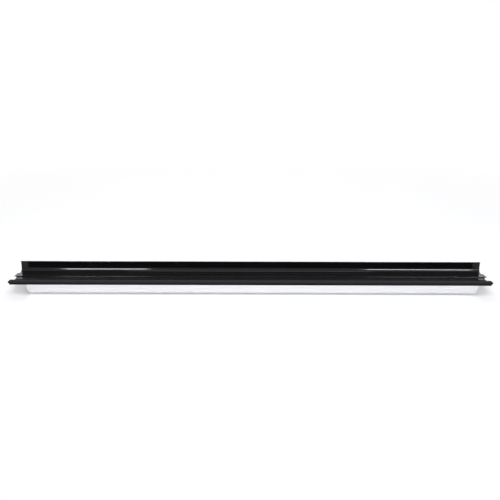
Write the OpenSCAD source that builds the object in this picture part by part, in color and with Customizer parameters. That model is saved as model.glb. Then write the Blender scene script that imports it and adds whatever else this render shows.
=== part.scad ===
// Running board for the side of a vehicle: a black step extrusion with a tall upstand at the back,
// a tread insert behind the lip, and a silver fascia screwed under the front.
// X runs along the board, Y towards the vehicle, Z up. The origin is at mid length, on the face
// that the brackets bear against, midway between the two bracket slots.

/* [Length] */
// Length of the board along its front edge
board_len = 1800; // [1200:10:2400]
// How much further each end reaches at the back than at the front
end_skew = 17; // [0:1:40]
// Distance from the left end of the lip to the left end of the fascia
fascia_inset_left = 62; // [20:1:150]
// Distance from the right end of the lip to the right end of the fascia
fascia_inset_right = 48; // [20:1:150]
// Distance from each end of the board to the end of the tread insert
insert_inset = 14; // [0:1:60]

/* [Step extrusion] */
// Thickness of the walls and webs
wall = 2.2; // [1.8:0.1:2.8]
// Depth of the body from the trough down to the bracket face
body_depth = 13; // [12.5:0.5:20]
// Width of the raised deck
deck_w = 45; // [42:1:48]
// Height of the deck above the trough
deck_rise = 6; // [4.5:0.5:10]
// Thickness of the deck and its overhanging front edge
deck_t = 2.4; // [2:0.1:3]
// How far the deck overhangs the insert channel
nose_reach = 24; // [20:1:27]
// Width of the trough between the deck and the upstand
trough_w = 54.5; // [51:0.5:70]
// Radius of the fillet between the trough and the upstand
trough_fillet = 15; // [6:0.5:17]
// Height of the upstand above the trough
upstand_h = 41.6; // [34:0.1:60]
// Thickness of the upstand
upstand_t = 3.2; // [2.4:0.1:5]
// Radius of the upstand's hollow front face
upstand_r = 66; // [60:1:120]
// Height above the trough at which the upstand stands plumb
upstand_plumb = 20; // [18:1:25]
// Radius of the rounded heel at the foot of the upstand
heel_r = 10; // [6:0.5:11]

/* [Lip and channel] */
// Width of the lip's top face
lip_w = 28; // [20:1:45]
// Height of the lip's front face
lip_h = 7.4; // [5:0.1:9]
// Height of the lip's top above the trough
lip_rise = 6; // [2:0.5:8]
// Width of the open channel between the lip and the deck's front edge
channel_w = 52; // [40:1:80]
// Height of the fascia's seat above the bracket face
front_step = 3.5; // [2:0.5:5]
// Set-back of the front beam behind the lip's front edge
beam_setback = 13; // [8:1:18]

/* [Bracket slots] */
// Distance between the centres of the two slots
slot_pitch = 32; // [28:1:35]
// Width of a slot's mouth
slot_mouth = 9; // [7:0.5:11]
// Width of a slot's pocket
slot_pocket_w = 17; // [14:0.5:20]
// Height of a slot's pocket
slot_pocket_h = 6.4; // [5:0.1:7]
// Thickness of the slot's two lips
slot_lip = 3; // [2.4:0.1:4]
// Distance from the front slot's pocket to the insert channel
slot_margin = 9.5; // [8:0.5:12]

/* [Tread insert] */
// Thickness of the insert's skin and legs
insert_t = 2.6; // [2:0.1:3.5]
// Drop from the insert's rear pad to its front pad
insert_step = 2.2; // [1:0.1:3]
// Width of the front pad
front_pad_w = 24; // [16:1:36]
// Height of the grip ribs on the rear pad
rib_h = 0.3; // [0.2:0.1:1]
// Width of a grip rib
rib_w = 1.4; // [1:0.1:2]
// Distance between the grip ribs
rib_pitch = 4.6; // [3:0.1:8]
// Gap round the insert
fit_gap = 0.3; // [0.2:0.1:0.6]

/* [Fascia] */
// Radius of the fascia's outer face
fascia_r = 55; // [45:1:70]
// Angle of the arc from the fascia's seat to its lower edge
fascia_sweep = 62; // [50:1:66]
// Height of the centre of the arc above the fascia's seat
fascia_rise = 9; // [4:1:14]
// Thickness of the fascia
fascia_t = 2; // [1.5:0.1:3]
// Depth of the flange that is screwed to the beam
fascia_flange = 26; // [20:1:32]
// Radius of the bead along the lower edge
bead_r = 2.2; // [1.6:0.1:3]

/* [Screws] */
// Number of screws that hold the fascia
screw_count = 6; // [3:1:10]
// Distance from each end of the fascia to its first screw
screw_end = 45; // [25:5:120]
// Radius of the screw's shank
screw_r = 2.1; // [1.6:0.1:2.6]
// Radius of the screw's head
screw_head_r = 4.2; // [3.5:0.1:5.5]
// Height of the screw's head
screw_head_h = 2.6; // [1.8:0.1:3.5]
// Length of the screw's thread inside the beam
screw_reach = 3; // [1:0.5:6]
// Width across the flats of the socket in the head
socket_af = 2.5; // [2:0.5:3]

/* [Hidden] */
$fn = 96;

// Levels above the bracket face
trough_z = body_depth;
deck_z = trough_z + deck_rise;
nose_z = deck_z - deck_t;
lip_z = trough_z + lip_rise;
floor_z = front_step + wall;
tip_z = trough_z + upstand_h;

// Places from the front to the back
root_y = -(slot_pitch / 2 + slot_pocket_w / 2 + slot_margin);
nose_y = root_y - nose_reach;
deck_back_y = nose_y + deck_w;
upstand_y = deck_back_y + trough_w;
lip_back_y = nose_y - channel_w;
lip_front_y = lip_back_y - lip_w;
beam_y = lip_front_y + beam_setback;
step_y = root_y - wall;

// Upstand: two circles about one centre
up_cy = upstand_y - upstand_r;
up_cz = trough_z + upstand_plumb;
up_r_out = upstand_r + upstand_t;
function leg(r, h) = sqrt(r * r - h * h);
// How far the rounded tip stands proud of the upstand's two faces
tip_proud = 0.1;
// How far the fillet crosses the upstand's face where they meet
fillet_bite = 0.03;
// Where the upstand's back meets the top of the heel, and the centre of its rounded tip
heel_y = up_cy + leg(up_r_out, up_cz - heel_r);
tip_r = upstand_t / 2 + tip_proud;
tip_cz = tip_z - tip_r;
tip_cy = up_cy + leg(upstand_r + upstand_t / 2, tip_cz - up_cz);
back_y = up_cy + up_r_out;
// Centre of the fillet that touches the trough and runs into the upstand's face
fillet_z = trough_z + trough_fillet;
fillet_y = up_cy + leg(upstand_r - trough_fillet + fillet_bite, up_cz - fillet_z);
fillet_top = up_cz - (up_cz - fillet_z) * upstand_r / (upstand_r - trough_fillet);

// Fascia: an arc about one centre, from the seat down to its lower edge
face_cz = front_step + fascia_rise;
face_cy = beam_y + leg(fascia_r, fascia_rise);
edge_angle = 180 + asin(fascia_rise / fascia_r) + fascia_sweep;
bead_reach = fascia_r - bead_r;
bead_y = face_cy + bead_reach * cos(edge_angle);
bead_z = face_cz + bead_reach * sin(edge_angle);
fascia_x0 = -board_len / 2 + fascia_inset_left;
fascia_x1 = board_len / 2 - fascia_inset_right;
// Screws, clear of the beam's rear wall
screw_y = lip_back_y - wall - screw_head_r;
screw_z = front_step - fascia_t;
screw_shank = fascia_t + wall + screw_reach;
socket_depth = screw_head_h / 2;
// Clearance round the thread in the beam and round the shank in the flange
thread_gap = 0.1;
shank_gap = 0.4;
// Extra length of a cut past the face that it opens
over = 1;

module rect(y0, z0, y1, z1) {
    translate([y0, z0]) square([y1 - y0, z1 - z0]);
}

module along_x(x0, x1) {
    translate([x0, 0, 0]) rotate([90, 0, 90]) linear_extrude(x1 - x0) children();
}

// Plan of the board between its skewed ends, each end moved in by cut
module plan(cut = 0) {
    skew_front = board_len / 2 - cut;
    skew_back = board_len / 2 + end_skew - cut;
    tall = 3 * tip_z;
    translate([0, 0, -tall / 2]) linear_extrude(2 * tall) polygon([
        [-skew_front, lip_front_y], [skew_front, lip_front_y],
        [skew_back, back_y], [-skew_back, back_y]]);
}

// Wedge from the upstand's centre, below the line through the centre of its tip
module upstand_wedge() {
    far = 2;
    polygon([[up_cy, up_cz], [up_cy, 0], [back_y + over, 0], [back_y + over, up_cz],
        [up_cy + far * (tip_cy - up_cy), up_cz + far * (tip_cz - up_cz)]]);
}

// Upstand from the heel to its rounded tip, with the fillet at its foot
module upstand_section() {
    difference() {
        intersection() {
            translate([up_cy, up_cz]) circle(up_r_out, $fn = 360);
            upstand_wedge();
            rect(fillet_y, heel_r - over, back_y + over, tip_z + over);
        }
        intersection() {
            translate([up_cy, up_cz]) circle(upstand_r, $fn = 360);
            rect(up_cy, fillet_top, back_y, tip_z + 2 * over);
        }
        translate([fillet_y, fillet_z]) circle(trough_fillet);
    }
    translate([tip_cy, tip_cz]) circle(tip_r, $fn = 32);
}

// Body from the bracket face to the deck, the trough and the heel
module body_section() {
    rect(step_y, 0, heel_y - heel_r, heel_r);
    rect(step_y, heel_r - over, fillet_y, trough_z);
    intersection() {
        translate([heel_y - heel_r, heel_r]) circle(heel_r);
        rect(heel_y - heel_r, 0, heel_y + over, heel_r + over);
    }
    rect(step_y, trough_z - over, deck_back_y, deck_z);
    rect(nose_y + deck_t / 2, nose_z, root_y, deck_z);
    translate([nose_y + deck_t / 2, nose_z + deck_t / 2]) circle(deck_t / 2, $fn = 32);
}

// Front beam under the insert channel, and the lip with the round bead along its front
module front_section() {
    bead = lip_h / 2;
    rect(beam_y, front_step, step_y + over, floor_z);
    rect(beam_y, front_step, lip_back_y, lip_z);
    rect(lip_front_y + bead, lip_z - wall, beam_y + over, lip_z);
    translate([lip_front_y + bead, lip_z - bead]) circle(bead, $fn = 64);
}

module slot(y) {
    rect(y - slot_mouth / 2, -over, y + slot_mouth / 2, slot_lip + over);
    rect(y - slot_pocket_w / 2, slot_lip, y + slot_pocket_w / 2, slot_lip + slot_pocket_h);
}

// Closed chambers of the body, the heel, the lip's beam and the bead
module chambers() {
    pocket_top = slot_lip + slot_pocket_h;
    inner = slot_pitch / 2 - slot_pocket_w / 2 - wall;
    outer = slot_pitch / 2 + slot_pocket_w / 2 + wall;
    deck_under = deck_z - deck_t;
    // in front of the front slot, and above it
    rect(root_y, wall, -outer, deck_under);
    rect(root_y, pocket_top + wall, deck_back_y - wall, deck_under);
    // between the slots
    rect(-inner, wall, inner, trough_z - wall);
    // heel
    rect(outer, wall, heel_y - heel_r, trough_z - wall);
    intersection() {
        translate([heel_y - heel_r, heel_r]) circle(heel_r - wall);
        rect(outer, wall, heel_y, trough_z - wall);
    }
    // lip beam and bead
    rect(beam_y + wall, floor_z, lip_back_y - wall, lip_z - wall);
    translate([lip_front_y + lip_h / 2, lip_z - lip_h / 2]) circle(lip_h / 2 - wall, $fn = 32);
}

module step_section() {
    difference() {
        union() {
            body_section();
            upstand_section();
            front_section();
        }
        slot(-slot_pitch / 2);
        slot(slot_pitch / 2);
        chambers();
    }
}

function screw_x(i) = fascia_x0 + screw_end
    + i * (fascia_x1 - fascia_x0 - 2 * screw_end) / (screw_count - 1);

module screw_holes(r, z0, z1) {
    for (i = [0 : screw_count - 1])
        translate([screw_x(i), screw_y, z0]) cylinder(h = z1 - z0, r = r, $fn = 32);
}

module step_extrusion() {
    color([0.06, 0.06, 0.065])
    difference() {
        intersection() {
            along_x(-board_len / 2 - end_skew - over, board_len / 2 + end_skew + over) step_section();
            plan();
        }
        screw_holes(screw_r + thread_gap, front_step - over, floor_z + over);
    }
}

// Insert: a rear pad tucked under the deck, a lower front pad, and legs on the channel floor
module insert_section() {
    rear_top = nose_z - fit_gap;
    front_top = rear_top - insert_step;
    front_y = lip_back_y + fit_gap;
    rear_y = step_y - fit_gap;
    step = front_y + front_pad_w;
    ribs_from = step + rib_pitch / 2;
    rib_count = floor((nose_y - ribs_from) / rib_pitch);
    rect(step - insert_t, rear_top - insert_t, rear_y, rear_top);
    rect(front_y, front_top - insert_t, step, front_top);
    // legs at the front, the step, the deck's front edge and the rear
    rect(front_y, floor_z, front_y + insert_t, front_top);
    rect(step - insert_t, floor_z, step, rear_top);
    rect(nose_y, floor_z, nose_y + insert_t, rear_top);
    rect(rear_y - insert_t, floor_z, rear_y, rear_top);
    for (i = [0 : rib_count - 1]) {
        rib_y = ribs_from + i * rib_pitch;
        rect(rib_y, rear_top - insert_t / 2, rib_y + rib_w, rear_top + rib_h);
    }
}

module tread_insert() {
    color([0.1, 0.1, 0.105])
    intersection() {
        along_x(-board_len / 2 - end_skew, board_len / 2 + end_skew) insert_section();
        plan(insert_inset);
    }
}

// Plane wedge from the arc's centre down to the fascia's lower edge
module fascia_wedge() {
    far = 2 * fascia_r;
    polygon([[face_cy, face_cz], [face_cy - far, face_cz], [face_cy - far, face_cz - far],
        [face_cy + far * cos(edge_angle), face_cz + far * sin(edge_angle)]]);
}

module fascia_section() {
    intersection() {
        difference() {
            translate([face_cy, face_cz]) circle(fascia_r, $fn = 360);
            translate([face_cy, face_cz]) circle(fascia_r - fascia_t, $fn = 360);
        }
        fascia_wedge();
        rect(face_cy - fascia_r, face_cz - fascia_r, face_cy, front_step);
    }
    rect(beam_y + fascia_t / 2, screw_z, beam_y + fascia_flange, front_step);
    translate([bead_y, bead_z]) circle(bead_r, $fn = 48);
}

module fascia() {
    color([0.78, 0.79, 0.81])
    difference() {
        along_x(fascia_x0, fascia_x1) fascia_section();
        screw_holes(screw_r + shank_gap, screw_z - over, front_step + over);
    }
}

// Pan head screw with a six-sided socket, head down
module screw() {
    cylinder(h = screw_shank, r = screw_r, $fn = 32);
    difference() {
        translate([0, 0, -screw_head_h]) cylinder(h = screw_head_h, r = screw_head_r, $fn = 48);
        translate([0, 0, -screw_head_h - over])
            cylinder(h = socket_depth + over, r = socket_af / sqrt(3), $fn = 6);
    }
}

module fascia_screws() {
    color([0.6, 0.6, 0.62])
    for (i = [0 : screw_count - 1]) translate([screw_x(i), screw_y, screw_z]) screw();
}

step_extrusion();
tread_insert();
fascia();
fascia_screws();
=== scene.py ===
import bpy
import math
from mathutils import Matrix, Vector

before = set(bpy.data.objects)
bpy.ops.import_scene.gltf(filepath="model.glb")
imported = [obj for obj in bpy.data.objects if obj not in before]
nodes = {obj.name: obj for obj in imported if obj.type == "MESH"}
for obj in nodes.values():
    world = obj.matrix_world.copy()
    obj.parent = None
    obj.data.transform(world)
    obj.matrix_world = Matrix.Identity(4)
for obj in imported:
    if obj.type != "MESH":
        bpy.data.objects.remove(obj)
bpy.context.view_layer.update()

BALANCE_Y = -0.045              # where the board's weight acts, across the board
LIP_EDGE_Y = (-0.1112, -0.1104)  # the back edge of the lip's flat top, as a short fade
LIP_RIB = 0.0009                # width of one fine rib on the lip
SPREAD = (0.3, 0.7)             # the part of a noise that holds most of its values
PATCHES = (0.35, 0.7)           # the same for the broad, cloudy noises

FLOOR_HALF = 30.0               # half the side of the floor
FLOOR_WHITE = (0.52, 1.0)       # how much of the seen floor is plain white, near and far
FLOOR_REACH = (0.55, 1.3)       # the distances for those two shares
CONTACT_WHITE = (0.35, 1.0)     # less of it where the fascia stands, so that its shadow keeps depth
CONTACT_REACH = (0.0, 0.08)     # the distances for those two shares, across the board
CONTACT_END = (0.78, 0.88)      # where that strip fades out towards the board's ends

SKY = 0.52                      # strength of the light from all round
SKY_COLOUR = (0.95, 0.97, 1.0, 1)
LAMP_COLOUR = (0.97, 0.965, 1.0)
SENSOR = 36.0                   # width of the camera's sensor
FRAME_PX = 500.0                # width of the picture


def lower_hull(points):
    """Lower side of the convex hull of points in the Y-Z plane, from front to back."""
    hull = []
    for p in sorted(points):
        while len(hull) > 1:
            (ay, az), (by, bz) = hull[-2], hull[-1]
            if (by - ay) * (p[1] - az) - (bz - az) * (p[0] - ay) > 0:
                break
            hull.pop()
        hull.append(p)
    return hull


profile = {(round(v.co.y, 6), round(v.co.z, 6)) for o in nodes.values() for v in o.data.vertices}
hull = lower_hull(profile)
# The floor touches the two lines that the board rests on, one on each side of its weight.
rest_front, rest_back = next(e for e in zip(hull, hull[1:]) if e[0][0] <= BALANCE_Y <= e[1][0])
floor_tilt = math.atan2(rest_back[1] - rest_front[1], rest_back[0] - rest_front[0])
studio = Matrix.Translation((0, rest_front[0], rest_front[1])) @ Matrix.Rotation(floor_tilt, 4, "X")


class Graph:
    """Adds nodes to a material or a world and links them, one call each."""

    def __init__(self, owner):
        owner.use_nodes = True
        self.owner = owner
        self.tree = owner.node_tree
        self.tree.nodes.clear()

    def add(self, kind, props=None, **inputs):
        """Node of a kind. An input is named by its label, or by its number after an i."""
        node = self.tree.nodes.new("ShaderNode" + kind)
        for key, value in (props or {}).items():
            setattr(node, key, value)
        for key, value in inputs.items():
            numbered = key[0] == "i" and key[1:].isdigit()
            socket = node.inputs[int(key[1:]) if numbered else key.replace("_", " ")]
            if isinstance(value, bpy.types.NodeSocket):
                self.tree.links.new(value, socket)
            else:
                socket.default_value = value
        return node

    def ramp(self, fac, low, high, at=(0.0, 1.0)):
        """Goes from low to high while fac goes from one end of at to the other."""
        return self.add("MapRange", None, i0=fac, i1=at[0], i2=at[1], i3=low, i4=high).outputs[0]

    def mix(self, fac, a, b):
        return self.add("Mix", {"data_type": "RGBA"}, i0=fac, i6=a, i7=b).outputs[2]

    def noise(self, vector, scale, detail, rough):
        return self.add("TexNoise", None, Vector=vector, Scale=scale, Detail=detail,
                        Roughness=rough).outputs[0]

    def math(self, operation, a, b=0.0, c=0.0):
        return self.add("Math", {"operation": operation}, i0=a, i1=b, i2=c).outputs[0]

    def coords(self, x=1.0, y=1.0, z=1.0):
        """The piece's own coordinates, scaled along each axis."""
        own = self.add("TexCoord").outputs["Object"]
        return self.add("Mapping", None, Vector=own, Scale=(x, y, z)).outputs[0]

    def split(self):
        return self.add("SeparateXYZ", None, i0=self.coords()).outputs

    def seen(self):
        """One for rays that show the backdrop, as such or in a reflection, otherwise nothing."""
        rays = self.add("LightPath").outputs
        direct = self.math("MAXIMUM", rays["Is Camera Ray"], rays["Is Glossy Ray"])
        return self.math("MAXIMUM", direct, rays["Is Transmission Ray"])

    def blend(self, share, a, b):
        return self.add("MixShader", None, i0=share, i1=a, i2=b).outputs[0]

    def surface(self, colour, rough, normal, **plain):
        """Principled surface; the plain values go on its own sockets."""
        shader = self.add("BsdfPrincipled", None, Base_Color=colour, Roughness=rough,
                          Normal=normal, **plain)
        return self.output("Material", shader.outputs[0])

    def output(self, kind, shader):
        out = self.add("Output" + kind)
        self.tree.links.new(shader, out.inputs["Surface"])
        return self.owner


def new_look(name):
    return Graph(bpy.data.materials.new(name))


def coated_black():
    """Glossy coating over drawn metal: faint lines, dust, and fine ribs on the dull lip."""
    g = new_look("black_coat_look")
    lines = g.noise(g.coords(1.5, 900.0, 900.0), 1.0, 3.0, 0.6)
    peel = g.noise(g.coords(), 420.0, 2.0, 0.5)
    cloud = g.noise(g.coords(1.0, 3.0, 3.0), 9.0, 3.0, 0.55)
    dust = g.noise(g.coords(), 1500.0, 1.0, 0.5)
    across = g.split()[1]
    lip = g.ramp(across, 1.0, 0.0, LIP_EDGE_Y)
    ribs = g.math("MULTIPLY", g.math("PINGPONG", across, LIP_RIB), lip)
    colour = g.mix(g.ramp(cloud, 0.0, 1.0, PATCHES),
                   (0.004, 0.004, 0.0045, 1), (0.006, 0.006, 0.007, 1))
    colour = g.mix(g.ramp(dust, 0.0, 0.2, (0.72, 0.76)), colour, (0.04, 0.04, 0.04, 1))
    colour = g.mix(lip, colour, (0.005, 0.005, 0.006, 1))
    rough = g.math("ADD", g.ramp(lines, 0.03, 0.07, SPREAD), g.ramp(cloud, 0.0, 0.02, SPREAD))
    rough = g.math("MULTIPLY_ADD", lip, 0.85, rough)
    height = g.math("MULTIPLY_ADD", lines, 0.6, peel)
    fine = g.add("Bump", None, Strength=0.02, Distance=0.0004, Height=height).outputs[0]
    ribbed = g.add("Bump", None, Strength=1.0, Distance=0.9, Height=ribs, Normal=fine).outputs[0]
    return g.surface(colour, rough, ribbed, IOR=1.3)


def moulded_black():
    """Satin moulded plastic with a fine grain."""
    g = new_look("tread_black_look")
    grain = g.add("TexVoronoi", {"feature": "F1"}, Vector=g.coords(), Scale=1300.0).outputs[0]
    cloud = g.noise(g.coords(1.0, 2.0, 2.0), 14.0, 3.0, 0.6)
    colour = g.mix(g.ramp(cloud, 0.0, 1.0, PATCHES),
                   (0.004, 0.004, 0.0045, 1), (0.006, 0.006, 0.007, 1))
    rough = g.math("ADD", g.ramp(grain, 0.05, 0.1), g.ramp(cloud, 0.0, 0.03))
    bump = g.add("Bump", None, Strength=0.05, Distance=0.0002, Height=grain).outputs[0]
    return g.surface(colour, rough, bump, IOR=1.4)


def silver_anodised():
    """Satin anodised aluminium with fine drawn lines along its length."""
    g = new_look("silver_look")
    lines = g.noise(g.coords(1.2, 1400.0, 1400.0), 1.0, 3.0, 0.6)
    cloud = g.noise(g.coords(0.6, 4.0, 4.0), 6.0, 3.0, 0.55)
    colour = g.mix(g.ramp(lines, 0.0, 1.0, SPREAD),
                   (0.775, 0.78, 0.8, 1), (0.82, 0.825, 0.845, 1))
    colour = g.mix(g.ramp(cloud, 0.0, 0.35, PATCHES), colour, (0.755, 0.76, 0.79, 1))
    bump = g.add("Bump", None, Strength=0.06, Distance=0.0002, Height=lines).outputs[0]
    return g.surface(colour, g.ramp(lines, 0.3, 0.42, SPREAD), bump, Metallic=0.85)


def zinc_steel():
    """Plated steel, slightly cloudy."""
    g = new_look("screw_look")
    cloud = g.noise(g.coords(), 500.0, 3.0, 0.6)
    colour = g.mix(g.ramp(cloud, 0.0, 1.0, SPREAD), (0.5, 0.5, 0.52, 1), (0.66, 0.66, 0.67, 1))
    bump = g.add("Bump", None, Strength=0.1, Distance=0.0002, Height=cloud).outputs[0]
    return g.surface(colour, g.ramp(cloud, 0.25, 0.4, SPREAD), bump, Metallic=1.0)


looks = {"step_extrusion": coated_black(), "tread_insert": moulded_black(),
         "fascia": silver_anodised(), "fascia_screws": zinc_steel()}
for name, look in looks.items():
    slots = nodes[name].material_slots
    for slot in slots:
        slot.material = look
    if not slots:
        nodes[name].data.materials.append(look)


def floor_look():
    """White floor that keeps the shadow, deeper along the fascia, and shows from above only."""
    g = new_look("floor_look")
    cloud = g.noise(g.coords(), 3.0, 2.0, 0.5)
    colour = g.mix(g.ramp(cloud, 0.0, 1.0, SPREAD), (0.86, 0.86, 0.865, 1), (0.89, 0.89, 0.89, 1))
    paint = g.add("BsdfDiffuse", None, Color=colour).outputs[0]
    clear = g.add("BsdfTransparent").outputs[0]
    white = g.add("Emission", None, Strength=1.0).outputs[0]
    along, across, _ = g.split()
    reach = g.add("VectorMath", {"operation": "LENGTH"}, i0=g.coords(0.5)).outputs["Value"]
    ahead = g.math("ABSOLUTE", g.math("SUBTRACT", across, rest_front[0]))
    aside = g.ramp(g.math("ABSOLUTE", along), 0.0, 1.0, CONTACT_END)
    near = g.math("MAXIMUM", g.ramp(ahead, *CONTACT_WHITE, CONTACT_REACH), aside)
    share = g.math("MULTIPLY", g.seen(), near)
    share = g.math("MULTIPLY", share, g.ramp(reach, *FLOOR_WHITE, FLOOR_REACH))
    under = g.add("NewGeometry").outputs["Backfacing"]
    return g.output("Material", g.blend(under, g.blend(share, paint, white), clear))


corners = [studio @ Vector((x * FLOOR_HALF, y * FLOOR_HALF, 0))
           for x, y in ((-1, -1), (1, -1), (1, 1), (-1, 1))]
mesh = bpy.data.meshes.new("floor")
mesh.from_pydata(corners, [], [(0, 1, 2, 3)])
floor = bpy.data.objects.new("floor", mesh)
floor.data.materials.append(floor_look())
bpy.context.scene.collection.objects.link(floor)

world = Graph(bpy.data.worlds.new("studio"))
backdrop = world.add("Background", None, Color=(1, 1, 1, 1)).outputs[0]
sky = world.add("Background", None, Color=SKY_COLOUR, Strength=SKY).outputs[0]
bpy.context.scene.world = world.output("World", world.blend(world.seen(), sky, backdrop))


def lamp(name, place, target, width, height, power, matt=True, gloss=True):
    """Soft box aimed at a target, both in the floor's axes. It may light only one kind of ray."""
    data = bpy.data.lights.new(name, "AREA")
    data.shape, data.size, data.size_y, data.energy = "RECTANGLE", width, height, power
    data.color = LAMP_COLOUR
    obj = bpy.data.objects.new(name, data)
    here, there = studio @ Vector(place), studio @ Vector(target)
    aim = (there - here).to_track_quat("-Z", "Y")
    obj.matrix_world = Matrix.Translation(here) @ aim.to_matrix().to_4x4()
    obj.visible_diffuse, obj.visible_glossy = matt, gloss
    bpy.context.scene.collection.objects.link(obj)


lamp("strip_left", (-1.21, -1.6, 1.9), (-0.2, 0, 0), 0.7, 0.3, 85, matt=False)
lamp("strip_right", (1.4, -1.6, 1.9), (0.2, 0, 0), 0.9, 0.3, 80, matt=False)
lamp("softbox_front", (0, -0.9, 2.3), (0, 0, 0), 2.4, 0.8, 52, gloss=False)
lamp("softbox_top", (0, 1.0, 2.2), (0, 0, 0), 2.0, 0.8, 18)


def look(location, pitch_down, yaw, roll, focal_px):
    """Camera at a place, turned by angles in radians, with a focal length in pixels."""
    data = bpy.data.cameras.new("camera")
    data.sensor_width = SENSOR
    data.lens = focal_px * SENSOR / FRAME_PX
    obj = bpy.data.objects.new("camera", data)
    turn = (Matrix.Rotation(yaw, 4, "Z") @ Matrix.Rotation(math.pi / 2 - pitch_down, 4, "X")
            @ Matrix.Rotation(roll, 4, "Z"))
    obj.matrix_world = Matrix.Translation(location) @ turn
    bpy.context.scene.collection.objects.link(obj)
    bpy.context.scene.camera = obj


# Fitted to the corners of the board's ends in the photograph.
look((-0.00084, -2.20906, 0.60005), 0.21801, 0.00053, 0.00242, 579.37)
bpy.context.scene.view_settings.view_transform = "Standard"
